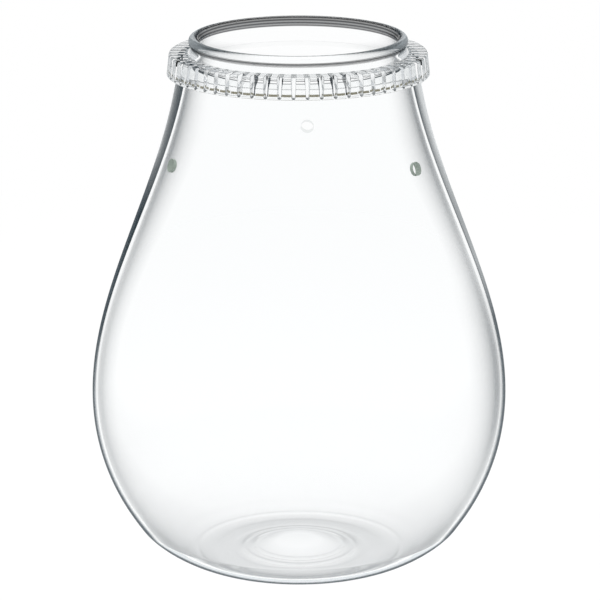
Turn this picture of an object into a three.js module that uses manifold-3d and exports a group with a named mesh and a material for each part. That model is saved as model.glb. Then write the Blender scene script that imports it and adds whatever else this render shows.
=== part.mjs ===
// A clear planter: a blown, pear-shaped glass vessel with three drilled holes, and a slotted clear collar that
// rests on the shoulder of its neck. Millimetres, +Z up, with the origin on the floor under the vessel's axis.

import * as THREE from 'three';
import { mergeGeometries, mergeVertices } from 'three/addons/utils/BufferGeometryUtils.js';
import Module from 'manifold-3d';

const wasm = await Module();
wasm.setup();

// Vessel, outside. A reach is how far a curve runs straight on from a point before it bends away.
const footRadius = 31;            // outer edge of the flat foot ring
const footWidth = 5;
const footReach = 14.6;
const kickHeight = 1.8;           // how far the middle of the base is pushed up inside the foot ring
const heelRadius = 60.9;          // a point on the round between the foot and the belly
const heelHeight = 14.4;
const heelAngle = 56;             // degrees from level
const heelReach = 5;
const bellyRadius = 77.6;
const bellyHeight = 64.3;
const bellyReachDown = 28;
const bellyReachUp = 39.8;
const seatHeight = 185.9;         // the collar's lower edge, where the body ends and the shoulder starts
const seatLean = 8.75;            // degrees from upright
const seatReach = 44.3;
const neckLength = 14.1;          // from the collar's lower edge to the top of the lip
const shoulderStart = 1.6;        // height of the shoulder above the collar's lower edge
const shoulderRise = 4.2;
const shoulderWidth = 4.7;        // how far the neck is set back from the body
const lipOverhang = 0.4;          // how far the neck is set back from the lip

// Vessel, wall
const baseWall = 2.6;
const bellyWall = 1.2;
const neckWall = 3.4;
const wallGrowth = 1.7;           // the wall thickens slowly above the belly and faster near the neck
const mouthRadius = 36.6;
const lipWall = 3.7;              // the lip is a full round of this thickness
const mouthReach = 6;

// Holes, drilled square to the wall
const holeCount = 3;
const holeRadius = 2.5;
const holeHeight = 156.5;
const firstHoleAngle = 86;        // degrees about +Z from +X

// Collar
const collarClearance = 0.3;
const collarHeight = 8;
const collarTaper = 0.8;          // how much less its radius is at the top
const collarBevel = 0.5;
const collarShell = 0.9;          // hoop and skirt behind the slots
const ribDepth = 2.5;             // how far the ribs stand out from the skirt's lower edge
const collarWeb = 0.5;            // floor under the slots
const slotCount = 60;
const slotTopWidth = 1.65;
const slotBottomWidth = 1.1;
const collarTurn = 1;             // degrees that the collar is turned on the neck

// Mesh fineness
const around = 60;
const holeSides = 20;
const wallSteps = 9;
const heelSteps = 5;
const shoulderSteps = 4;
const lipSteps = 6;

const radians = THREE.MathUtils.degToRad;
const fullTurn = 2 * Math.PI;

// A point in the plane of a profile: distance from the axis, and height
const at = (radius, height) => new THREE.Vector2(radius, height);

// A direction in that plane, turned from level
const heading = (degrees, length) => at(Math.cos(radians(degrees)), Math.sin(radians(degrees))).multiplyScalar(length);

function bend(start, leave, arrive, end, steps) {
  const curve = new THREE.CubicBezierCurve(start, start.clone().add(leave), end.clone().sub(arrive), end);
  return curve.getPoints(steps);
}

const lipHeight = seatHeight + neckLength - lipWall / 2;
const lipRadius = mouthRadius + lipWall;
const neckRadius = lipRadius - lipOverhang;
const seatRadius = neckRadius + shoulderWidth;
const kickRadius = footRadius - footWidth;

// The outer wall from the foot ring up to the collar's lower edge
function outerWall() {
  const foot = at(footRadius, 0);
  const heel = at(heelRadius, heelHeight);
  const belly = at(bellyRadius, bellyHeight);
  const seat = at(seatRadius, seatHeight);
  const heelRun = heading(heelAngle, heelReach);
  const seatRun = heading(90 + seatLean, seatReach);
  return {
    base: bend(foot, at(footReach, 0), heelRun, heel, heelSteps),
    flank: bend(heel, heelRun, at(0, bellyReachDown), belly, heelSteps),
    upper: bend(belly, at(0, bellyReachUp), seatRun, seat, wallSteps),
  };
}

// Each point moved inwards, square to the profile, by the wall that wallAt gives for its share of the way
function inside(points, wallAt) {
  const last = points.length - 1;
  return points.map((point, i) => {
    const along = points[Math.min(i + 1, last)].clone().sub(points[Math.max(i - 1, 0)]).normalize();
    const wall = wallAt(i / last);
    return at(point.x - along.y * wall, point.y + along.x * wall);
  });
}

// The shoulder as an S from the body to the neck, moved out by clear and ending at the given radius
function shoulder(endRadius, clear) {
  const lean = heading(90 + seatLean, 1);
  const foot = at(seatRadius + clear, seatHeight + clear).add(lean.clone().multiplyScalar(shoulderStart / lean.y));
  const top = at(endRadius, seatHeight + clear + shoulderStart + shoulderRise);
  const reach = shoulderRise / 2;
  return bend(foot, lean.multiplyScalar(reach), at(0, reach), top, shoulderSteps);
}

function lip() {
  const centre = mouthRadius + lipWall / 2;
  const points = [];
  for (let i = 0; i <= lipSteps; i += 1) {
    const angle = Math.PI * i / lipSteps;
    points.push(at(centre + lipWall / 2 * Math.cos(angle), lipHeight + lipWall / 2 * Math.sin(angle)));
  }
  return points;
}

// Turned about +Z, starting at the given angle. The profile runs up the outside and down the inside.
function turned(profile, startDegrees) {
  const geometry = new THREE.LatheGeometry(profile, around, 0, fullTurn);
  geometry.rotateX(Math.PI / 2);
  geometry.rotateZ(radians(startDegrees));
  return geometry;
}

// A closed geometry as a solid: shared corners are merged, and triangles without area are left out
function solid(geometry) {
  const plain = geometry.clone();
  plain.deleteAttribute('normal');
  plain.deleteAttribute('uv');
  const merged = mergeVertices(plain, 1e-4);
  const index = merged.index.array;
  const triangles = [];
  for (let i = 0; i < index.length; i += 3) {
    const [a, b, c] = index.slice(i, i + 3);
    if (a !== b && b !== c && c !== a) triangles.push(a, b, c);
  }
  return new wasm.Manifold(new wasm.Mesh({
    numProp: 3,
    vertProperties: new Float32Array(merged.attributes.position.array),
    triVerts: new Uint32Array(triangles),
  }));
}

function toGeometry(body) {
  const mesh = body.getMesh();
  const geometry = new THREE.BufferGeometry();
  geometry.setAttribute('position', new THREE.BufferAttribute(new Float32Array(mesh.vertProperties), 3));
  geometry.setIndex(new THREE.BufferAttribute(new Uint32Array(mesh.triVerts), 1));
  geometry.computeVertexNormals();
  return geometry;
}

// The place on the outer wall at a height, and the angle of the wall's outward normal above level
function wallPlace(points, height) {
  const i = Math.max(1, points.findIndex((point) => point.y >= height));
  const [low, high] = [points[i - 1], points[i]];
  const share = (height - low.y) / (high.y - low.y);
  return {
    radius: low.x + (high.x - low.x) * share,
    tilt: Math.atan2(low.x - high.x, high.y - low.y),
  };
}

function holeCutters(wall) {
  const place = wallPlace(wall, holeHeight);
  const cutters = [];
  for (let i = 0; i < holeCount; i += 1) {
    const cutter = new THREE.CylinderGeometry(holeRadius, holeRadius, 4 * neckWall, holeSides);
    cutter.rotateZ(Math.PI / 2);
    cutter.rotateY(-place.tilt);
    cutter.translate(place.radius, 0, holeHeight);
    cutter.rotateZ(radians(firstHoleAngle) + fullTurn * i / holeCount);
    cutters.push(cutter);
  }
  return mergeGeometries(cutters);
}

function vesselGeometry() {
  const wall = outerWall();
  const lowWall = (share) => baseWall + (bellyWall - baseWall) * share;
  const highWall = (share) => bellyWall + (neckWall - bellyWall) * share ** wallGrowth;
  const low = [...wall.base, ...wall.flank.slice(1)];
  const innerLow = inside(low, lowWall);
  const innerHigh = inside(wall.upper, highWall);
  const innerSeat = innerHigh[innerHigh.length - 1];
  const lean = heading(90 + seatLean, mouthReach);
  const innerNeck = bend(innerSeat, lean, at(0, mouthReach), at(mouthRadius, lipHeight), shoulderSteps);
  const outside = [...low, ...wall.upper.slice(1), ...shoulder(neckRadius, 0), ...lip()];
  const insideWall = [...innerLow, ...innerHigh.slice(1, -1), ...innerNeck.slice(0, -1)].reverse();
  const kick = bend(at(0, kickHeight), at(kickRadius / 2, 0), at(kickRadius / 4, 0), at(kickRadius, 0), shoulderSteps);
  const floor = kick.map((point) => at(point.x, point.y + baseWall)).reverse();
  const profile = [...kick, ...outside, ...insideWall, ...floor];
  const blown = solid(turned(profile, 0));
  return toGeometry(blown.subtract(solid(holeCutters(wall.upper))));
}

const collarBottom = seatHeight;
const collarTop = collarBottom + collarHeight;
const boreRadius = lipRadius + collarClearance;
const collarBottomRadius = seatRadius + collarClearance + collarShell + ribDepth;
const collarTopRadius = collarBottomRadius - collarTaper;

// The collar's profile: up the tapered outside, over the bevel, then down the bore and the skirt over the shoulder
function collarProfile() {
  const rest = at(seatRadius + collarClearance, collarBottom);
  const bore = shoulder(boreRadius, collarClearance).reverse();
  return [
    rest,
    at(collarBottomRadius, collarBottom),
    at(collarTopRadius, collarTop - collarBevel),
    at(collarTopRadius - collarBevel, collarTop),
    at(boreRadius, collarTop),
    ...bore,
    rest.clone(),
  ];
}

// What one slot takes away, seen from the side: everything outside the hoop, above the skirt and the web
function slotCutter() {
  const behind = collarClearance + collarShell;
  const floor = collarBottom + collarWeb;
  const clearOf = collarBottomRadius + 1;
  const above = collarTop + 1;
  const skirt = shoulder(boreRadius + collarShell, behind);
  const outline = [at(clearOf, floor), at(clearOf, above), at(boreRadius + collarShell, above)];
  outline.push(...skirt.reverse(), at(seatRadius + behind, floor));
  const cutter = new THREE.ExtrudeGeometry(new THREE.Shape(outline), { depth: 1, bevelEnabled: false });
  cutter.translate(0, 0, -0.5);
  cutter.rotateX(Math.PI / 2);
  const corners = cutter.attributes.position;
  for (let i = 0; i < corners.count; i += 1) {
    const share = (corners.getZ(i) - floor) / (collarTop - floor);
    corners.setY(i, corners.getY(i) * (slotBottomWidth + (slotTopWidth - slotBottomWidth) * share));
  }
  return cutter;
}

function collarGeometry() {
  const pitch = 360 / slotCount;
  const firstSlot = collarTurn + pitch / 2;
  const cutters = [];
  for (let i = 0; i < slotCount; i += 1) {
    cutters.push(slotCutter().rotateZ(radians(firstSlot + i * pitch)));
  }
  const hoop = solid(turned(collarProfile(), firstSlot));
  return toGeometry(hoop.subtract(solid(mergeGeometries(cutters))));
}

const clearGlass = new THREE.MeshStandardMaterial({
  color: 0xdfe8e8, roughness: 0.03, metalness: 0, transparent: true, opacity: 0.35,
});
const clearPlastic = new THREE.MeshStandardMaterial({
  color: 0xe6eaea, roughness: 0.08, metalness: 0, transparent: true, opacity: 0.5,
});

const vessel = new THREE.Mesh(vesselGeometry(), clearGlass);
vessel.name = 'glass_vessel';

const collar = new THREE.Mesh(collarGeometry(), clearPlastic);
collar.name = 'neck_collar';

const planter = new THREE.Group();
planter.add(vessel, collar);

export default planter;
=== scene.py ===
import math

import bmesh
import bpy
import numpy as np
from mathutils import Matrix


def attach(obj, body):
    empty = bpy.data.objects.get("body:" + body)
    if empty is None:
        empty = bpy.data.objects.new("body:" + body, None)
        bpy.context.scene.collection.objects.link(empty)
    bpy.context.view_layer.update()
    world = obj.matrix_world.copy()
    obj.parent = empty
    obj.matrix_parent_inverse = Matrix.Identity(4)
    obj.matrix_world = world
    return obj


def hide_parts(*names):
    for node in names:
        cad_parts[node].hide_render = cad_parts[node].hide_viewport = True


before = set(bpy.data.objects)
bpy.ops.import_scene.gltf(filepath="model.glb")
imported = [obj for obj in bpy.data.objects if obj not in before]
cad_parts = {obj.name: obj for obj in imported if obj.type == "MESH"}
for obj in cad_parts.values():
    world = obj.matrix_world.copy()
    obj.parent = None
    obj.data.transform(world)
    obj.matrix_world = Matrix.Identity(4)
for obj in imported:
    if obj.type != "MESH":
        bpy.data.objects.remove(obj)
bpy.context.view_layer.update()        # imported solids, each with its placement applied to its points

mm = 0.001
fullTurn = 2 * math.pi
crispAngle = 35          # degrees: sharper corners keep a crisp edge


class Signal:
    # A socket that can be reckoned with: each operator adds one Math node and gives its output
    def __init__(self, sheet, socket):
        self.sheet = sheet
        self.socket = socket

    def reckon(self, operation, left, right=0):
        return self.sheet.node("ShaderNodeMath", {"operation": operation}, {0: left, 1: right})

    def __add__(self, other):
        return self.reckon("ADD", self, other)

    def __sub__(self, other):
        return self.reckon("SUBTRACT", self, other)

    def __rsub__(self, other):
        return self.reckon("SUBTRACT", other, self)

    def __mul__(self, other):
        return self.reckon("MULTIPLY", self, other)

    def __pow__(self, other):
        return self.reckon("POWER", self, other)

    __radd__ = __add__
    __rmul__ = __mul__

    def clipped(self):
        return self.sheet.node("ShaderNodeClamp", {}, {"Value": self})

    def near(self, value, half):
        # 1 within half of the value, falling to 0 at twice that
        return 1 - self.reckon("ABSOLUTE", self - value).ramp(half, 2 * half)

    def ramp(self, start, end):
        # 0 at start, 1 at end, straight between and flat beyond
        return self.sheet.node("ShaderNodeMapRange", {}, {"Value": self, "From Min": start, "From Max": end})


class Sheet:
    # One node tree. node() takes a type, its settings and its sockets' values or links, and gives an output
    def __init__(self, owner):
        owner.use_nodes = True
        self.tree = owner.node_tree
        self.tree.nodes.clear()

    def node(self, kind, settings=None, sockets=None, output=0):
        made = self.tree.nodes.new(kind)
        for name, value in (settings or {}).items():
            if name == "stops":        # (place, brightness) of each stop of a ramp, at least two
                for _ in value[2:]:
                    made.color_ramp.elements.new(0.5)
                for stop, (at, bright) in zip(made.color_ramp.elements, value):
                    stop.position, stop.color = at, (bright, bright, bright, 1)
            else:
                setattr(made, name, value)
        for name, value in (sockets or {}).items():
            if isinstance(value, Signal):
                self.tree.links.new(value.socket, made.inputs[name])
            else:
                made.inputs[name].default_value = value
        if made.outputs:
            return Signal(self, made.outputs[output])

    def mix(self, factor, first, second):
        return self.node("ShaderNodeMixShader", {}, {0: factor, 1: first, 2: second})

    def mixed(self, share, first, second):
        return (1 - share) * first + share * second

    def rayIs(self, *kinds):
        # 1 for any of these kinds of ray, else 0
        total = 0
        for kind in kinds:
            total = total + self.node("ShaderNodeLightPath", output=f"Is {kind} Ray")
        return total.clipped()

    def hasPassed(self, surfaces):
        # 1 for light that has passed more clear surfaces than this, else 0
        depth = self.node("ShaderNodeLightPath", output="Transmission Depth")
        return depth.ramp(surfaces + 0.5, surfaces + 0.6)


class ClearSheet(Sheet):
    # What every clear surface starts from: its place, a faint wave, Fresnel, and whether light is leaving it
    waveDetail, waveStrength = 1.5, 0.35
    wholeSharpness = 60.0        # Fresnel to this power is 1 only where all light is mirrored

    def __init__(self, material, look):
        super().__init__(material)
        self.look = look
        place = self.node("ShaderNodeTexCoord", output="Object")
        axes = [self.node("ShaderNodeSeparateXYZ", {}, {0: place}, axis) for axis in "XYZ"]
        self.x, self.y, self.height = axes
        self.radius = (self.x * self.x + self.y * self.y) ** 0.5
        wave = self.node("ShaderNodeTexNoise", {},
                         {"Vector": place, "Scale": look["waveScale"], "Detail": self.waveDetail})
        bump = {"Height": wave, "Strength": self.waveStrength, "Distance": look["waveHeight"] * mm}
        self.normal = self.node("ShaderNodeBump", {}, bump)
        self.fresnel = self.node("ShaderNodeFresnel", {}, {"IOR": look["ior"], "Normal": self.normal})
        self.leaving = self.node("ShaderNodeNewGeometry", output="Backfacing")
        self.arriving = 1 - self.leaving
        # Total reflection, which is seen only from within
        self.whole = self.leaving * self.fresnel ** self.wholeSharpness

    def mirror(self, colour):
        gloss = {"Color": (*colour, 1), "Roughness": 0.0, "Normal": self.normal}
        return self.node("ShaderNodeBsdfAnisotropic", {}, gloss)

    def onward(self, colour):
        return self.node("ShaderNodeBsdfTransparent", {}, {"Color": (*colour, 1)})

    def straight(self, colour):
        # Onward too, but counted as light that has passed a surface
        clear = {"Color": (*colour, 1), "IOR": 1.0, "Roughness": 0.0}
        return self.node("ShaderNodeBsdfRefraction", {}, clear)

    def refracted(self):
        glass = {"Color": (*self.look["through"], 1), "IOR": self.look["ior"], "Roughness": 0.0}
        return self.node("ShaderNodeBsdfRefraction", {}, {**glass, "Normal": self.normal})

    def byHeight(self, stops, heights):
        # The stops' brightness, spread over a range of heights
        return self.node("ShaderNodeValToRGB", {"stops": stops}, {0: self.height.ramp(*heights)})

    def turnedAway(self):
        # 0 where the wall stands square to the eye, 1 at its left and right edges, whatever its slope
        out = self.node("ShaderNodeCombineXYZ", {}, {0: self.x, 1: self.y})
        out = self.node("ShaderNodeVectorMath", {"operation": "NORMALIZE"}, {0: out})
        return self.node("ShaderNodeLayerWeight", {}, {"Blend": 0.5, "Normal": out}, "Facing")

    def toRight(self):
        # From x over the distance from the axis: 0 over the planter's left half and up to 1 at its right side
        return (self.x * self.radius ** -1).ramp(*self.look["rightFrom"])

    def finish(self, surface):
        # Light that only falls through, without being seen, goes straight on
        light = self.rayIs("Shadow", "Diffuse")
        surface = self.mix(light, surface, self.onward(self.look["shade"]))
        self.node("ShaderNodeOutputMaterial", {}, {"Surface": surface})


# Clear blown glass; heights and radii in metres. Its mirrors are tinted dark: painted shade that stands in
# for dark surroundings, so each slanting edge draws its own painted dark line. The painted shade is darker on
# the upper body than on the lower, and lighter on the right. A pair of values is where something starts and
# where it is full.
glassLook = {
    "ior": 1.474, "through": (0.993, 0.996, 0.997), "shade": (0.985, 0.988, 0.99),
    "waveScale": 26.0, "waveHeight": 0.010,        # the height in millimetres
    # dark and line: tints of the painted shade, for the dark mirrors and for the painted dark lines
    "dark": (0.09, 0.11, 0.125), "line": (0.02, 0.025, 0.03), "clearInside": (0.965, 0.97, 0.97),
    # A mirrored sheen painted onto the upper outside, and a painted dark outline on the lower, by Fresnel
    "skim": (0.95, 0.97, 0.98), "skimFrom": 0.12, "skimGain": 0.85, "skimHeight": (0.136, 0.158),
    "footEdge": (0.33, 0.48), "bellyEdge": (0.32, 0.52), "bellyEdgeHeight": (0.020, 0.050), "edgeShare": 0.92,
    # How the painted shade differs on the right
    "rightFrom": (0.3, 0.95), "rightEdge": 0.045, "rightFade": (0.095, 0.117), "rightThin": 0.88,
    "rightGain": 0.5, "rightClear": 0.045,
    # Total reflection at the inner wall, from the belly upwards, and across the band outwards. Its mirror
    # tints are
    # painted: dark above the belly, lighter low down, on the right and at the neck, and dark again at the lip
    "bandLight": (0.80, 0.83, 0.85), "bandHeight": (0.066, 0.092),
    "bandDark": (0.035, 0.05, 0.06), "bandRight": (0.54, 0.56, 0.57),
    "bandAcross": ((0.264, 0.270), (0.267, 0.292)), "bandAcrossHeight": (0.10, 0.18),
    "bandNeck": (0.68, 0.70, 0.72), "neckHeight": (0.1840, 0.1856),
    "bandLip": (0.18, 0.20, 0.21), "bandLipHeight": (0.1940, 0.1952),
    # The round lip: painted dark lines inside it, a painted dark line along its outside, and painted shade at
    # its left and right ends
    "lipHeight": (0.1960, 0.2000),
    "lipShade": ((0.0, 0.0), (0.05, 0.0), (0.10, 0.55), (0.146, 0.92), (0.20, 0.78), (0.27, 0.60),
                 (0.34, 0.76), (0.417, 0.95), (0.49, 0.78), (0.56, 0.60), (0.62, 0.80), (0.69, 0.97),
                 (0.755, 0.80), (0.81, 0.64), (0.86, 0.85), (0.915, 1.0), (0.96, 0.75), (1.0, 0.3)),
    "beadHeight": (0.1955, 0.1980),
    "beadShade": ((0.0, 0.0), (0.12, 0.0), (0.26, 0.5), (0.48, 0.55), (0.58, 0.98), (0.72, 0.7), (0.84, 0.0)),
    "sideFrom": (0.08, 0.75), "sideHeight": (0.1958, 0.1966), "sideShare": 0.62,
    "paintedSideShade": (0.28, 0.31, 0.33),
    # Painted grey of the slanting inner wall, a mirror tinted dark: Fresnel below which it is clear, how it
    # grows, and where it fades again
    "slantClear": (0.025, 0.085, 0.05), "slantGain": (0.8, 0.9, 0.5, 1.3), "neckCurve": 1.3,
    "slantFade": ((0.25, 0.50), (0.23, 0.42)), "floorHeight": (0.008, 0.020), "bellyHeight": (0.035, 0.060),
    "upperHeight": (0.085, 0.115), "bodyHeight": (0.085, 0.160), "clearHeight": (0.095, 0.155),
    "middle": (0.008, 0.019), "middleShare": 0.8,        # the thick middle of the floor gets less of the painted grey
}


def outerGlass(name, look):
    material = bpy.data.materials.new(name)
    sheet = ClearSheet(material, look)
    # Painted light and shade: a light mirror on the upper outside, and a dark mirror as the outline on the
    # lower
    high = sheet.height.ramp(*look["skimHeight"])
    skimmed = ((sheet.fresnel - look["skimFrom"]) * look["skimGain"]).clipped() * high * sheet.arriving
    right = sheet.toRight()
    footEdge = sheet.fresnel.ramp(*look["footEdge"])
    bellyEdge = (sheet.fresnel + right * look["rightEdge"]).ramp(*look["bellyEdge"])
    edged = sheet.mixed(sheet.height.ramp(*look["bellyEdgeHeight"]), footEdge, bellyEdge)
    edged = edged * (1 - high) * sheet.arriving * look["edgeShare"]
    edged = edged * (1 - right * sheet.height.ramp(*look["rightFade"]) * look["rightThin"])
    skin = sheet.mix(skimmed, sheet.refracted(), sheet.mirror(look["skim"]))
    skin = sheet.mix(edged, skin, sheet.mirror(look["dark"]))
    # Painted shade: the lip's left and right ends get a dark mirror, and the bead gets a painted dark line
    side = sheet.turnedAway().ramp(*look["sideFrom"]) * sheet.height.ramp(*look["sideHeight"])
    skin = sheet.mix(side * look["sideShare"] * sheet.arriving, skin, sheet.mirror(look["paintedSideShade"]))
    line = sheet.byHeight(look["beadShade"], look["beadHeight"])
    skin = sheet.mix(line * sheet.arriving, skin, sheet.mirror(look["line"]))
    lip = sheet.height.ramp(look["lipHeight"][0] - 1.0 * mm, look["lipHeight"][0])
    within = sheet.mix(lip, sheet.straight(look["clearInside"]), sheet.mirror(look["clearInside"]))
    sheet.finish(sheet.mix(sheet.whole, skin, within))
    return material


def innerGlass(name, look):
    material = bpy.data.materials.new(name)
    sheet = ClearSheet(material, look)
    height, fresnel = sheet.height, sheet.fresnel
    belly, upper = height.ramp(*look["bellyHeight"]), height.ramp(*look["upperHeight"])
    floorGain, footGain, waistGain, neckGain = look["slantGain"]
    gain = height.ramp(*look["bodyHeight"]) ** look["neckCurve"] * neckGain + belly * waistGain
    gain = gain + (1 - height.ramp(*look["floorHeight"])) * floorGain + footGain
    # Painted shade: on the lower right, the slanting wall's dark mirror starts earlier and grows faster
    right = sheet.toRight()
    lowRight = right * belly * (1 - upper)
    gain = gain * (1 + lowRight * look["rightGain"])
    start, rise, fall = look["slantClear"]
    clearBelow = belly * rise + start - height.ramp(*look["clearHeight"]) * fall
    clearBelow = clearBelow - lowRight * look["rightClear"]
    low, high = look["slantFade"]
    fade = 1 - sheet.mixed(upper, fresnel.ramp(*low), fresnel.ramp(*high))
    middle = (1 - sheet.radius.ramp(*look["middle"])) * look["middleShare"]
    # Painted shade: the slanting wall turns into a dark mirror as Fresnel grows
    slanted = ((fresnel - clearBelow) * fade * gain * (1 - middle)).clipped()
    skin = sheet.mix(slanted, sheet.refracted(), sheet.mirror(look["dark"]))
    # Painted shade: dark lines across the inside of the lip, by height
    lip = sheet.byHeight(look["lipShade"], look["lipHeight"])
    skin = sheet.mix(lip * sheet.arriving, skin, sheet.mirror(look["line"]))
    # Painted reflection: the total reflection is a mirror tinted dark or light by height and side
    facing = sheet.node("ShaderNodeLayerWeight", {}, {"Blend": 0.5}, "Facing")
    thin, thick = look["bandAcross"]
    across = sheet.mixed(height.ramp(*look["bandAcrossHeight"]), facing.ramp(*thin), facing.ramp(*thick))
    band = sheet.mix(right * across, sheet.mirror(look["bandDark"]), sheet.mirror(look["bandRight"]))
    band = sheet.mix(height.ramp(*look["bandHeight"]), sheet.mirror(look["bandLight"]), band)
    band = sheet.mix(height.ramp(*look["neckHeight"]), band, sheet.mirror(look["bandNeck"]))
    band = sheet.mix(height.ramp(*look["bandLipHeight"]), band, sheet.mirror(look["bandLip"]))
    sheet.finish(sheet.mix(sheet.whole, skin, band))
    return material


# The drilled bores are left as the drill ground them: frosted, grey-green, with a fine grain
boreLook = {
    "frost": (0.42, 0.48, 0.43), "face": (0.25, 0.29, 0.26), "faceShare": 0.5,
    "grainScale": 2600.0, "grainDetail": 4.0, "grainRoughness": 0.6,
    "grainStrength": 0.4, "grainHeight": 0.05,              # the height in millimetres
    "clear": (0.97, 0.98, 0.98), "clearShare": 0.85,        # how faint a bore is through the front wall
}


def groundGlass(name, look):
    material = bpy.data.materials.new(name)
    sheet = Sheet(material)
    place = sheet.node("ShaderNodeTexCoord", output="Object")
    noise = {"Scale": look["grainScale"], "Detail": look["grainDetail"], "Roughness": look["grainRoughness"]}
    grain = sheet.node("ShaderNodeTexNoise", {}, {"Vector": place, **noise})
    bump = {"Height": grain, "Strength": look["grainStrength"], "Distance": look["grainHeight"] * mm}
    normal = sheet.node("ShaderNodeBump", {}, bump)
    frost = sheet.node("ShaderNodeBsdfTranslucent", {}, {"Color": (*look["frost"], 1), "Normal": normal})
    face = sheet.node("ShaderNodeBsdfDiffuse", {}, {"Color": (*look["face"], 1), "Normal": normal})
    clear = sheet.node("ShaderNodeBsdfTransparent", {}, {"Color": (*look["clear"], 1)})
    ground = sheet.mix(look["faceShare"], frost, face)
    surface = sheet.mix(sheet.hasPassed(1) * look["clearShare"], ground, clear)
    sheet.node("ShaderNodeOutputMaterial", {}, {"Surface": surface})
    return material


# Collar, millimetres. acrossSlot is in half widths from a slot's middle, acrossRib in shares of a rib's width
collarSize = {
    "low": 185.9, "clearance": 0.3, "height": 8.0, "bottomRadius": 48.3, "topRadius": 47.5, "topBevel": 0.55,
    "shell": 0.9, "web": 0.45, "ribs": 60, "turn": 1.0, "slotTop": 1.65, "slotBottom": 1.1, "edge": 0.12,
    "bevelRound": 0.3, "slotInset": 0.15, "ribFoot": (0.03, 0.15), "webEdge": 0.02,
    "acrossSlot": (0.0, 0.5, 0.85, 1.0), "acrossRib": (0.0, 0.04, 0.2, 0.5, 0.8, 0.96, 1.0),
    "liningSteps": 18, "outerSteps": 26,
}

# Clear moulded plastic; lengths in millimetres. Light that has passed two surfaces already goes straight on
# through it, so that the far side of the collar does not fill the mouth. Depths are below the collar's top.
plasticLook = {
    "ior": 1.49, "through": (0.99, 0.992, 0.993), "shade": (0.985, 0.988, 0.99), "passed": 1,
    "waveScale": 90.0, "waveHeight": 0.012,
    # dark: painted shade, a mirror tinted dark for slanting views
    "dark": (0.16, 0.18, 0.19), "skim": (0.80, 0.82, 0.83), "skimCurve": 1.6, "clearBelow": 0.06,
    "slantFade": (0.30, 0.46), "inside": (0.955, 0.96, 0.96),
    # Painted reflection of the slot walls: dark when looked along
    "wallInside": (0.09, 0.10, 0.11), "wallFacing": (0.68, 0.77),
    # Painted shade at the collar's left and right ends
    "sideFrom": (0.2, 0.85), "sideShare": 0.3, "paintedSideShade": (0.30, 0.33, 0.35),
    # Painted dark lines: round the slots, darker at the sides and under them, along the bevel and at the
    # slots' ends
    "sideLine": 0.8, "sideLineDepth": (0.7, 0.4),
    "lineWidth": 0.08, "outline": 0.38, "underHeight": 0.45,
    "bevelLine": 0.45, "bevelDepth": (0.2, 0.1),
    "slotEnd": 0.6, "slotEndRadius": (44.2, 44.8), "slotEndDepth": (1.4, 1.1),
    # A painted dark line where the skirt turns over the glass shoulder
    "shoulderLine": (0.22, 0.21, 0.16), "lineHeight": 186.9, "lineHalf": 0.28,
}


class CollarSheet(ClearSheet):
    # Plastic with millimetre coordinates, and the distance of a spot from the nearest slot's outline
    def __init__(self, material, look, size):
        super().__init__(material, look)
        self.z, self.across = self.height * (1 / mm), self.radius * (1 / mm)
        self.webTop, self.top = size["low"] + size["web"], size["low"] + size["height"]
        pitch = fullTurn / size["ribs"]
        turned = self.y.reckon("ARCTAN2", self.y, self.x) - math.radians(size["turn"])
        off = (turned.reckon("FRACT", turned * (1 / pitch)) - 0.5) * self.across * pitch
        half = self.z.ramp(self.webTop, self.top) * (0.5 * (size["slotTop"] - size["slotBottom"]))
        half = half + 0.5 * size["slotBottom"]
        below = self.z.reckon("MAXIMUM", self.webTop + 0.5 * size["slotBottom"] - self.z)
        self.fromSlot = (off * off + below * below) ** 0.5 - half

    def nearTop(self, depths):
        # 0 below the first depth under the collar's top, 1 above the second
        return self.z.ramp(self.top - depths[0], self.top - depths[1])

    def skin(self, inside):
        look = self.look
        # Painted shade: slanting views get a mirror tinted dark
        fade = 1 - self.fresnel.ramp(*look["slantFade"])
        slanted = ((self.fresnel - look["clearBelow"]) * fade).clipped()
        skimmed = self.arriving * (1 - fade) * self.fresnel ** look["skimCurve"]
        clear = self.mix(skimmed, self.refracted(), self.mirror(look["skim"]))
        clear = self.mix(slanted, clear, self.mirror(look["dark"]))
        return self.mix(self.whole, clear, inside)

    def settle(self, surface):
        self.finish(self.mix(self.hasPassed(self.look["passed"]), surface, self.onward((1.0, 1.0, 1.0))))


def outerPlastic(name, look, size):
    # Painted dark lines stand in for the moulded edges: round each slot, darkest under it and at the sides,
    # along the bevel, and at each slot's inner end
    material = bpy.data.materials.new(name)
    sheet = CollarSheet(material, look, size)
    width, bevel = look["lineWidth"], size["topBevel"]
    side = sheet.turnedAway().ramp(*look["sideFrom"])
    under = 1 - sheet.z.ramp(sheet.webTop, sheet.webTop + look["underHeight"])
    darkest = (under + side * sheet.nearTop(look["sideLineDepth"]) * look["sideLine"]).clipped()
    outline = sheet.fromSlot.near(width, width) * sheet.mixed(darkest, look["outline"], 1.0)
    bevelLine = sheet.across.near(size["topRadius"] - bevel, width) * sheet.nearTop(look["bevelDepth"])
    bevelLine = sheet.z.near(sheet.top - bevel, width) + bevelLine
    bevelLine = bevelLine * sheet.fromSlot.ramp(0, 0.1) * look["bevelLine"]
    end = (1 - sheet.fromSlot.ramp(-0.1, 0.0)) * (1 - sheet.across.ramp(*look["slotEndRadius"]))
    end = end * sheet.nearTop(look["slotEndDepth"]) * look["slotEnd"]
    lines = (outline + bevelLine + end).clipped() * sheet.arriving
    skin = sheet.skin(sheet.onward(look["inside"]))
    # Painted shade: the collar's left and right ends get a dark mirror
    skin = sheet.mix(side * sheet.arriving * look["sideShare"], skin, sheet.mirror(look["paintedSideShade"]))
    sheet.settle(sheet.mix(lines, skin, sheet.mirror(look["dark"])))
    return material


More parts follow.
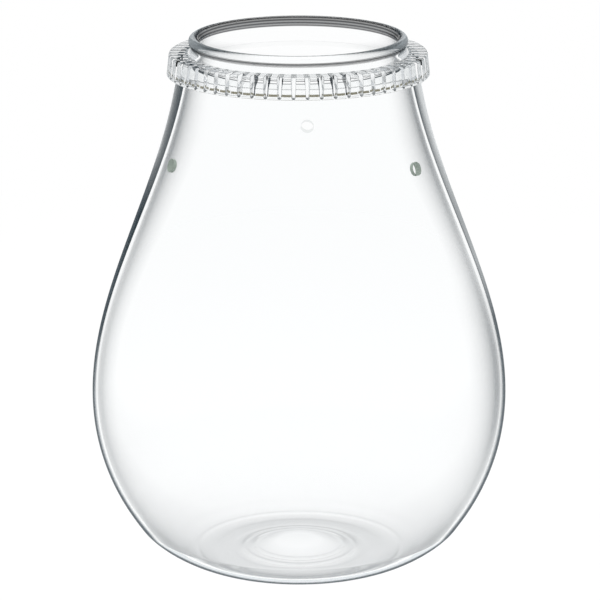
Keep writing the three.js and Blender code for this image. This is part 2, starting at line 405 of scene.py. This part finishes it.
def wallPlastic(name, look, size):
    # The slots' side walls: seen from within the rib they get a painted dark mirror when looked along, and a
    # light one when looked at
    material = bpy.data.materials.new(name)
    sheet = CollarSheet(material, look, size)
    facing = sheet.node("ShaderNodeLayerWeight", {}, {"Blend": 0.5}, "Facing").ramp(*look["wallFacing"])
    within = sheet.mix(facing, sheet.mirror(look["inside"]), sheet.mirror(look["wallInside"]))
    sheet.settle(sheet.skin(within))
    return material


def liningPlastic(name, look, size):
    # Where the skirt turns over the glass shoulder, a painted dark line, a dull olive, shows from within each
    # rib
    material = bpy.data.materials.new(name)
    sheet = CollarSheet(material, look, size)
    line = sheet.node("ShaderNodeBsdfDiffuse", {}, {"Color": (*look["shoulderLine"], 1)})
    onLine = sheet.z.near(look["lineHeight"], look["lineHalf"]) * sheet.fromSlot.ramp(-0.1, 0.05)
    sheet.settle(sheet.mix(onLine * sheet.leaving, sheet.skin(sheet.onward(look["inside"])), line))
    return material


def direction(degrees, length=1.0):
    # Turned from level, in the plane of a profile
    return np.array([math.cos(math.radians(degrees)), math.sin(math.radians(degrees))]) * length


def arc(centre, radius, start, end, count=80):
    # Part of a circle: the centre plus the radius times cosine and sine, between two angles in degrees
    turn = np.radians(np.linspace(start, end, count))[:, None]
    return np.asarray(centre) + radius * np.hstack([np.cos(turn), np.sin(turn)])


def bend(start, leave, arrive, end, count=160):
    # Cubic curve: it leaves start along one handle and comes into end along the other
    start, end = np.asarray(start, float), np.asarray(end, float)
    t = np.linspace(0, 1, count)[:, None]
    first, second = start + leave, end - np.asarray(arrive, float)
    return (1 - t) ** 3 * start + 3 * (1 - t) ** 2 * t * first + 3 * (1 - t) * t ** 2 * second + t ** 3 * end


def lengthAlong(points):
    # Each point's distance from the first, along the line
    return np.concatenate([[0], np.cumsum(np.linalg.norm(np.diff(points, axis=0), axis=1))])


def pointAt(line, distance):
    along = lengthAlong(line)
    return np.stack([np.interp(distance, along, line[:, k]) for k in range(2)], -1)


def spread(points, count):
    # The same line with this many points, evenly by length
    points = np.asarray(points, float)
    return pointAt(points, np.linspace(0, lengthAlong(points)[-1], count))


def softened(points, radius, step=0.05):
    # Corners rounded: each point becomes the bell-weighted mean of its neighbours on the line; the ends stay
    even = spread(points, int(lengthAlong(points)[-1] / step))
    reach = int(round(3 * radius / step))
    bell = np.exp(-0.5 * (np.arange(-reach, reach + 1) * step / radius) ** 2)
    bell /= bell.sum()
    before = 2 * even[0] - even[reach:0:-1]
    after = 2 * even[-1] - even[-2:-reach - 2:-1]
    padded = np.vstack([before, even, after])
    return np.column_stack([np.convolve(padded[:, k], bell, "valid") for k in range(2)])


def putMesh(name, points, faces, slots, materials, body):
    # Points in millimetres. Faces are made to point outwards. Slots give each face's number in the materials
    mesh = bpy.data.meshes.new(name)
    mesh.from_pydata((points * mm).tolist(), [], faces)
    for material in materials:
        mesh.materials.append(material)
    mesh.polygons.foreach_set("material_index", slots)
    mesh.polygons.foreach_set("use_smooth", np.ones(len(mesh.polygons), bool))
    tidy = bmesh.new()
    tidy.from_mesh(mesh)
    bmesh.ops.recalc_face_normals(tidy, faces=tidy.faces)
    tidy.to_mesh(mesh)
    tidy.free()
    mesh.set_sharp_from_angle(angle=math.radians(crispAngle))
    piece = bpy.data.objects.new(name, mesh)
    bpy.context.scene.collection.objects.link(piece)
    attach(piece, body)
    return piece


# Glass vessel, millimetres and degrees. A reach is how far a curve runs straight on before it bends away.
vesselSize = {
    "kickRadius": 26.0, "kickHeight": 1.8, "domeHeight": 1.3,
    # Faint rings in the floor: radius, rise and width of each, on what lies below ringsBelow
    "rings": ((26.0, 0.12, 1.2), (21.0, 0.28, 0.9), (16.6, 0.30, 0.9), (38.6, 0.22, 0.9), (45.0, 0.12, 1.6)),
    "ringsBelow": 12.0,
    "footRadius": 31.0, "footReach": 14.6, "heel": (60.86, 14.39), "heelAngle": 55.94, "heelReach": 5.0,
    "belly": (77.58, 64.27), "bellyReachDown": 28.15, "bellyReachUp": 39.79,
    "seat": (44.6, 185.9), "seatLean": 8.75, "seatReach": 44.3, "shoulderStart": 1.6, "shoulderRise": 4.2,
    "neckRadius": 39.9, "neckReach": 2.6, "throat": (39.45, 196.55), "throatReach": 0.6,
    "mouthRadius": 36.6, "lipWall": 3.7, "lipTop": 200.0, "lipTurn": (-54, 90, 190),
    "neckInner": (36.85, 194.5), "neckInnerReach": 4.0,
    "baseWall": 2.0, "baseGrowth": 9, "bellyWall": 1.2, "neckWall": 3.4, "wallGrowth": 1.7, "soft": 0.25,
    "holeRadius": 2.5, "holeHeight": 156.5, "holeAngles": (86.1, 206.1, 326.1), "holeBevel": 0.06,
    "nearHole": (40.0, 120.0),        # the wall round the holes is past this radius and above this height
    # Columns round the vessel, cells from a hole's middle to its square, their height, and the rings within
    "around": 216, "holeCells": 3, "cell": 1.5, "holeRings": (0.35, 0.7, 0.9, 1.0),
    # Rows for each millimetre, fewest and most, and how they grow with the line's bend
    "rowsPer": (0.52, 5.5), "bendGain": 4.2, "bendFrom": 0.03, "rowWindow": 41,
}


def shoulder(endRadius, clear, size=vesselSize):
    # S from the leaning body to the upright neck, moved out and up by a clearance
    lean = direction(90 + size["seatLean"])
    foot = np.array(size["seat"]) + clear + lean * size["shoulderStart"] / lean[1]
    top = (endRadius, size["seat"][1] + clear + size["shoulderStart"] + size["shoulderRise"])
    reach = size["shoulderRise"] / 2
    return bend(foot, lean * reach, (0, reach), top, 60)


def offsetInside(points, wall):
    # Each point moved to the left of the line's direction by the wall there
    along = np.gradient(points, axis=0)
    along /= np.linalg.norm(along, axis=1)[:, None]
    return points + np.column_stack([-along[:, 1], along[:, 0]]) * wall[:, None]


def raisedMiddle(size, height):
    # Level at the axis and at the kick's edge: the height times (1 - (r / R) squared) squared
    r = np.linspace(0, size["kickRadius"], 200)
    return np.column_stack([r, height * (1 - (r / size["kickRadius"]) ** 2) ** 2])


def lipArc(size, start, end):
    ring = size["lipWall"] / 2
    return arc((size["mouthRadius"] + ring, size["lipTop"] - ring), ring, start, end)


def outsideLine(size):
    # From the axis over the kick, foot, heel, belly and shoulder up to the top of the lip
    heelRun = direction(size["heelAngle"], size["heelReach"])
    seatRun = direction(90 + size["seatLean"], size["seatReach"])
    foot = bend((size["footRadius"], 0), (size["footReach"], 0), heelRun, size["heel"])
    flank = bend(size["heel"], heelRun, (0, size["bellyReachDown"]), size["belly"])
    high = bend(size["belly"], (0, size["bellyReachUp"]), seatRun, size["seat"], 300)
    step = shoulder(size["neckRadius"], 0)
    throat = bend(step[-1], (0, size["neckReach"]), (0, size["throatReach"]), size["throat"], 40)
    low = np.vstack([foot, flank[1:]])
    lip = lipArc(size, *size["lipTurn"][:2])
    kick = raisedMiddle(size, size["kickHeight"])
    return np.vstack([kick, low, high[1:], step, throat[1:], lip]), low, high


def insideLine(size, low, high):
    # From the top of the lip down the bore, the body and the heel to the middle of the floor. Each faint ring
    # adds its rise times e to the power of minus the square of (distance from the ring / its width).
    share = lengthAlong(low) / lengthAlong(low)[-1]
    extra = (size["baseWall"] - size["bellyWall"]) * (1 - share) ** size["baseGrowth"]
    innerLow = offsetInside(low, size["bellyWall"] + extra)
    share = lengthAlong(high) / lengthAlong(high)[-1]
    extra = (size["neckWall"] - size["bellyWall"]) * share ** size["wallGrowth"]
    innerHigh = offsetInside(high, size["bellyWall"] + extra)
    neckRun = direction(90 + size["seatLean"], size["neckInnerReach"])
    neck = bend(innerHigh[-1], neckRun, (0, size["neckInnerReach"]), size["neckInner"])
    floor = raisedMiddle(size, size["kickHeight"] + size["domeHeight"]) + (0, size["baseWall"])
    inner = np.vstack([floor, innerLow])
    for radius, rise, width in size["rings"]:
        ring = rise * np.exp(-((inner[:, 0] - radius) / width) ** 2)
        inner[:, 1] += ring * (inner[:, 1] < size["ringsBelow"])
    return np.vstack([lipArc(size, *size["lipTurn"][1:]), neck[::-1], innerHigh[-2:0:-1], inner[::-1]])


def rowsAlong(line, holeAt, size):
    # Distances of the grid's rows: close together where the line bends, and even round the drilled hole
    along = lengthAlong(line)
    step = along[1]
    turn = np.unwrap(np.arctan2(np.gradient(line[:, 1]), np.gradient(line[:, 0])))
    bending = np.abs(np.gradient(turn, step))
    fewest, most = size["rowsPer"]
    density = fewest + size["bendGain"] * np.sqrt(bending) * (bending > size["bendFrom"])
    density = np.clip(density, fewest, most)
    window = size["rowWindow"]
    density = np.convolve(np.pad(density, window // 2, "edge"), np.ones(window) / window, "valid")
    reach = size["holeCells"] * size["cell"]
    rows = []
    for start, end in ((0, holeAt - reach), (holeAt + reach, along[-1])):
        part = (along >= start) & (along <= end)
        total = np.cumsum(density[part] * step)
        wanted = np.interp(np.linspace(0, total[-1], int(total[-1]) + 1), total, along[part])
        wanted[0], wanted[-1] = start, end
        rows.append(wanted)
    hole = np.linspace(holeAt - reach, holeAt + reach, 2 * size["holeCells"] + 1)[1:-1]
    return np.concatenate([rows[0], hole, rows[1]])


def drilledLines(size):
    # Both softened lines, how far along each the holes' axes cross it, and the drill's way, square to it
    outside, low, high = outsideLine(size)
    outside, inside = softened(outside, size["soft"]), softened(insideLine(size, low, high), size["soft"])
    radius, height = size["nearHole"]
    wall = np.flatnonzero((outside[:, 0] > radius) & (outside[:, 1] > height))
    mark = wall[np.argmin(np.abs(outside[wall, 1] - size["holeHeight"]))]
    way = outside[mark + 5] - outside[mark - 5]
    way /= np.linalg.norm(way)
    wall = np.flatnonzero((inside[:, 0] > radius) & (inside[:, 1] > height))
    match = wall[np.argmin(np.abs((inside[wall] - outside[mark]) @ way))]
    inward = np.array([-way[1], way[0]])
    return outside, inside, lengthAlong(outside)[mark], lengthAlong(inside)[match], inward


def buildVessel(size):
    # Both lines turned about the axis: (r cos a, r sin a, z). Round each hole a square of cells is left out
    # and filled with rings that go from the square to the circle, over the bevel and through the bore.
    outside, inside, holeOut, holeIn, inward = drilledLines(size)
    rowsOut, rowsIn = rowsAlong(outside, holeOut, size), rowsAlong(inside, holeIn, size)
    profile = np.vstack([pointAt(outside, rowsOut), pointAt(inside, rowsIn)[1:]])
    profile[[0, -1], 0] = 0

    around, rows, n = size["around"], len(profile), size["holeCells"]
    column = fullTurn / around
    firstAngle = math.radians(size["holeAngles"][0])
    angle = firstAngle + column * np.arange(around)
    middle = profile[1:-1]
    grid = np.stack([middle[:, :1] * np.cos(angle), middle[:, :1] * np.sin(angle),
                     np.repeat(middle[:, 1:], around, 1)], -1)
    last = 1 + (rows - 2) * around
    points = [np.array([[0, 0, profile[0, 1]]]), grid.reshape(-1, 3), np.array([[0, 0, profile[-1, 1]]])]

    def corner(i, j):
        return 1 + (i - 1) * around + j % around

    i, j = np.meshgrid(np.arange(1, rows - 2), np.arange(around), indexing="ij")
    keep = np.ones(i.shape, bool)
    top = len(rowsOut) - 1
    centreOut = int(np.argmin(np.abs(rowsOut - holeOut)))
    centreIn = top + int(np.argmin(np.abs(rowsIn - holeIn)))
    holeColumns = [round((math.radians(a) - firstAngle) / column) % around for a in size["holeAngles"]]
    for hole in holeColumns:
        beside = ((j - hole + n) % around) < 2 * n
        for centre in (centreOut, centreIn):
            keep &= ~(beside & (i >= centre - n) & (i < centre + n))
    i, j = i[keep], j[keep]
    quads = [np.column_stack([corner(i, j), corner(i, j + 1), corner(i + 1, j + 1), corner(i + 1, j)])]
    slots = [(i >= top).astype(int)]
    j = np.arange(around)
    poles = np.vstack([
        np.column_stack([np.zeros(around, int), corner(1, j + 1), corner(1, j)]),
        np.column_stack([corner(rows - 2, j), corner(rows - 2, j + 1), np.full(around, last)]),
    ])

    edge, full = np.arange(-n, n), np.full(2 * n, n)
    across = np.concatenate([full, -edge, -full, edge])        # columns from the hole's middle, anticlockwise
    upward = np.concatenate([edge, full, -edge, -full])        # rows from the hole's middle
    turn = np.radians(-45 + 90 * np.arange(8 * n) / (2 * n))
    circle = np.column_stack([np.cos(turn), np.sin(turn)])
    flatRings = len(size["holeRings"])
    ringSlots = [0] * flatRings + [2] * 3 + [1] * flatRings    # outside, bevels and bore, inside
    nextPoint = last + 1
    walls = ((outside, holeOut, 1, centreOut), (inside, holeIn, -1, centreIn))
    for hole in holeColumns:
        theta = firstAngle + column * hole

        def onWall(line, at, sign, flat):
            # flat: millimetres round the wall and up it, from the hole's middle
            spot = pointAt(line, at + sign * flat[:, 1])
            turned = theta + flat[:, 0] / pointAt(line, at)[0]
            return np.column_stack([spot[:, 0] * np.cos(turned), spot[:, 0] * np.sin(turned), spot[:, 1]])

        drillWay = np.array([inward[0] * math.cos(theta), inward[0] * math.sin(theta), inward[1]])
        chains = []
        for line, at, sign, centre in walls:
            square = np.column_stack([across * column * pointAt(line, at)[0], upward * size["cell"]])
            wide = circle * (size["holeRadius"] + size["holeBevel"])
            rings = [onWall(line, at, sign, square * (1 - w) + wide * w) for w in size["holeRings"]]
            rim = onWall(line, at, sign, circle * size["holeRadius"])
            rings.append(rim + sign * drillWay * size["holeBevel"])
            chain = [corner(centre + sign * upward, hole + across)]
            for ring in rings:
                points.append(ring)
                chain.append(nextPoint + np.arange(len(ring)))
                nextPoint += len(ring)
            chains.append(chain)
        chain = chains[0] + chains[1][::-1]
        for a, b, slot in zip(chain, chain[1:], ringSlots):
            quads.append(np.column_stack([a, np.roll(a, -1), np.roll(b, -1), b]))
            slots.append(np.full(len(a), slot))
    slots = np.concatenate([*slots, np.repeat([0, 1], around)])
    return np.vstack(points), np.vstack(quads).tolist() + poles.tolist(), slots


vesselGlass = [
    outerGlass("glass outside", glassLook),
    innerGlass("glass inside", glassLook),
    groundGlass("ground glass", boreLook),
]
vessel = putMesh("vessel_glass", *buildVessel(vesselSize), vesselGlass, "vessel")
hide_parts("glass_vessel")
print("vessel:", len(vessel.data.polygons), "faces")


def buildCollar(size, glassSize):
    # One pitch is a few upright sections side by side, across a slot and then across a rib. Each section runs
    # under the collar, up the skirt and the bore, over the hoop and back outside; the pitches close the ring.
    low, edge, bevel = size["low"], size["edge"], size["topBevel"]
    bottom, topRadius = size["bottomRadius"], size["topRadius"]
    top, webTop = low + size["height"], low + size["web"]
    rest = glassSize["seat"][0] + size["clearance"]
    bore = glassSize["mouthRadius"] + glassSize["lipWall"] + size["clearance"]
    hoop = bore + size["shell"]
    skirtIn = shoulder(bore, size["clearance"])
    skirtOut = shoulder(hoop, size["clearance"] + size["shell"])
    under = np.vstack([
        spread([(bottom - size["webEdge"], webTop), (bottom, low + edge)], 2),
        spread([(bottom - edge, low), (rest + edge, low)], 3),
    ])
    lining = spread(np.vstack([(rest, low + edge), skirtIn, (bore, top - edge)]), size["liningSteps"])
    shared = np.vstack([under, lining, [(bore + edge, top), (hoop - edge, top)]])
    slotFloor = [(rest + size["shell"], webTop), (bottom - size["slotInset"], webTop)]
    slotLine = spread(np.vstack([(hoop, top - edge), skirtOut[::-1], slotFloor]), size["outerSteps"])
    rounding = size["bevelRound"] * bevel
    ribLine = spread([(hoop, top), (topRadius - bevel, top), (topRadius - rounding, top - rounding),
                      (topRadius, top - bevel), (bottom - size["ribFoot"][0], webTop + size["ribFoot"][1])],
                     size["outerSteps"])
    slot, rib = np.vstack([shared, slotLine]), np.vstack([shared, ribLine])
    outer = np.arange(len(slot)) >= len(shared)
    pitch = fullTurn / size["ribs"]

    def halfWidth(section):
        share = np.clip((section[:, 1] - webTop) / (top - webTop), 0, 1)
        return 0.5 * (size["slotBottom"] + (size["slotTop"] - size["slotBottom"]) * share)

    columns = []
    for t in (*-np.array(size["acrossSlot"])[:0:-1], *size["acrossSlot"]):
        # The slot's floor is round: it rises by its half width times (1 - root of (1 - t squared))
        lift = 0.5 * size["slotBottom"] * (1 - math.sqrt(1 - min(abs(t), 0.999) ** 2))
        section = slot.copy()
        section[:, 1] = np.where(outer, np.maximum(section[:, 1], webTop + lift), section[:, 1])
        columns.append((section, np.arcsin(t * halfWidth(section) / section[:, 0])))
    for w in size["acrossRib"]:
        section = rib.copy()
        if w in (0.0, 1.0):        # the rib's upright edges and the ends of its top are drawn in a little
            section[:, 0] -= edge * (outer & (section[:, 0] > hoop + 0.5))
            section[:, 1] -= edge * (outer & (section[:, 1] > top - 0.05))
        start = np.arcsin(halfWidth(section) / section[:, 0])
        columns.append((section, start + (pitch - 2 * start) * w))
    radius, height = np.array([section for section, _ in columns]).transpose(2, 0, 1)
    turned = math.radians(size["turn"]) + pitch / 2 + pitch * np.arange(size["ribs"])
    angles = turned[:, None, None] + np.array([angle for _, angle in columns])
    heights = np.broadcast_to(height, angles.shape)
    points = np.stack([radius * np.cos(angles), radius * np.sin(angles), heights], -1)
    m, n = size["ribs"] * len(columns), len(slot)
    i, j = np.meshgrid(np.arange(m), np.arange(n), indexing="ij")
    nextI, nextJ = (i + 1) % m, (j + 1) % n
    quads = np.stack([i * n + j, nextI * n + j, nextI * n + nextJ, i * n + nextJ], -1).reshape(-1, 4)
    lined = (j >= len(under)) & (j < len(under) + len(lining) - 1)
    slotSides = (2 * len(size["acrossSlot"]) - 2, len(columns) - 1)
    beside = np.isin(i % len(columns), slotSides) & (j >= len(shared) - 1)
    return points.reshape(-1, 3), quads.tolist(), np.where(lined, 1, np.where(beside, 2, 0)).ravel()


collarPlastic = [
    outerPlastic("plastic", plasticLook, collarSize),
    liningPlastic("plastic lining", plasticLook, collarSize),
    wallPlastic("plastic beside the slots", plasticLook, collarSize),
]
collar = putMesh("collar_plastic", *buildCollar(collarSize, vesselSize), collarPlastic, "collar")
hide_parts("neck_collar")
print("collar:", len(collar.data.polygons), "faces")


# Studio: white paper floor and surroundings. Only what the glass mirrors or bends meets the dark ceiling
studio = {
    "floorSize": 6.0, "floorColour": (0.92, 0.92, 0.92), "floorShare": 0.8, "floorFade": (0.15, 0.6),
    "worldLight": 0.75, "ceiling": (0.10, 0.12, 0.13), "ceilingRamp": (0.30, 0.60),
    "lens": 216.0, "sensor": 36.0, "pitch": 15.33, "roll": 0.13, "distance": 1.3457, "farthest": 50,
    "aim": (0.00125, 0.0, 0.0994),
    # Place, size and power of each lamp
    "lamps": {
        "top": ((0.0, 0.1, 1.3), 1.2, 7.0),
        "left": ((-1.1, -0.7, 0.8), 0.8, 5.0),
        "right": ((1.2, -0.5, 0.7), 0.8, 4.0),
    },
    "lampAim": (0.0, 0.0, 0.1),
    "bounces": 32,        # the ribs pass light on many times
}


def setWorld(look):
    world = bpy.data.worlds.new("studio")
    bpy.context.scene.world = world
    sheet = Sheet(world)

    def light(colour, strength):
        return sheet.node("ShaderNodeBackground", {}, {"Color": (*colour, 1), "Strength": strength})

    way = sheet.node("ShaderNodeTexCoord", output="Generated")
    above = sheet.node("ShaderNodeSeparateXYZ", {}, {0: way}, "Z").ramp(*look["ceilingRamp"])
    dark = above * sheet.rayIs("Glossy", "Transmission")
    seen = sheet.mix(dark, light((1, 1, 1), 1.0), light(look["ceiling"], 1.0))
    isSeen = sheet.rayIs("Camera", "Glossy", "Transmission")
    around = sheet.mix(isSeen, light((1, 1, 1), look["worldLight"]), seen)
    sheet.node("ShaderNodeOutputWorld", {}, {"Surface": around})


def addFloor(look):
    half = look["floorSize"] / 2
    mesh = bpy.data.meshes.new("floor")
    corners = [(-half, -half, 0), (half, -half, 0), (half, half, 0), (-half, half, 0)]
    mesh.from_pydata(corners, [], [(0, 1, 2, 3)])
    material = bpy.data.materials.new("floor paper")
    sheet = Sheet(material)
    place = sheet.node("ShaderNodeTexCoord", output="Object")
    away = sheet.node("ShaderNodeVectorMath", {"operation": "LENGTH"}, {0: place}, "Value")
    # Paper near the object, plain white further off
    share = sheet.mixed(away.ramp(*look["floorFade"]), look["floorShare"], 1.0)
    seen = sheet.rayIs("Camera", "Glossy", "Transmission") * share
    paper = sheet.node("ShaderNodeBsdfDiffuse", {}, {"Color": (*look["floorColour"], 1)})
    white = sheet.node("ShaderNodeEmission", {}, {"Color": (1, 1, 1, 1), "Strength": 1.0})
    sheet.node("ShaderNodeOutputMaterial", {}, {"Surface": sheet.mix(seen, paper, white)})
    mesh.materials.append(material)
    floor = bpy.data.objects.new("floor", mesh)
    bpy.context.scene.collection.objects.link(floor)


def addLamps(look):
    for name, (place, size, power) in look["lamps"].items():
        lamp = bpy.data.lights.new(name, "AREA")
        lamp.shape, lamp.size, lamp.energy = "DISK", size, power
        thing = bpy.data.objects.new(name, lamp)
        thing.location = place
        x, y, z = np.subtract(look["lampAim"], place)
        thing.rotation_euler = (math.atan2(math.hypot(x, y), -z), 0, math.atan2(y, x) - math.pi / 2)
        bpy.context.scene.collection.objects.link(thing)
        thing.visible_glossy = False
        thing.visible_transmission = False


def addCamera(look):
    data = bpy.data.cameras.new("camera")
    data.lens, data.sensor_width, data.clip_end = look["lens"], look["sensor"], look["farthest"]
    camera = bpy.data.objects.new("camera", data)
    pitch = math.radians(look["pitch"])
    away = np.array([0, -math.cos(pitch), math.sin(pitch)])
    camera.location = np.array(look["aim"]) + look["distance"] * away
    camera.rotation_euler = (math.pi / 2 - pitch, math.radians(look["roll"]), 0)
    bpy.context.scene.collection.objects.link(camera)
    bpy.context.scene.camera = camera


setWorld(studio)
addFloor(studio)
addLamps(studio)
addCamera(studio)
scene = bpy.context.scene
scene.view_settings.view_transform = "Standard"
scene.cycles.max_bounces = studio["bounces"]
scene.cycles.glossy_bounces = studio["bounces"]
scene.cycles.transmission_bounces = studio["bounces"]
print("studio: world, floor, lamps and camera")
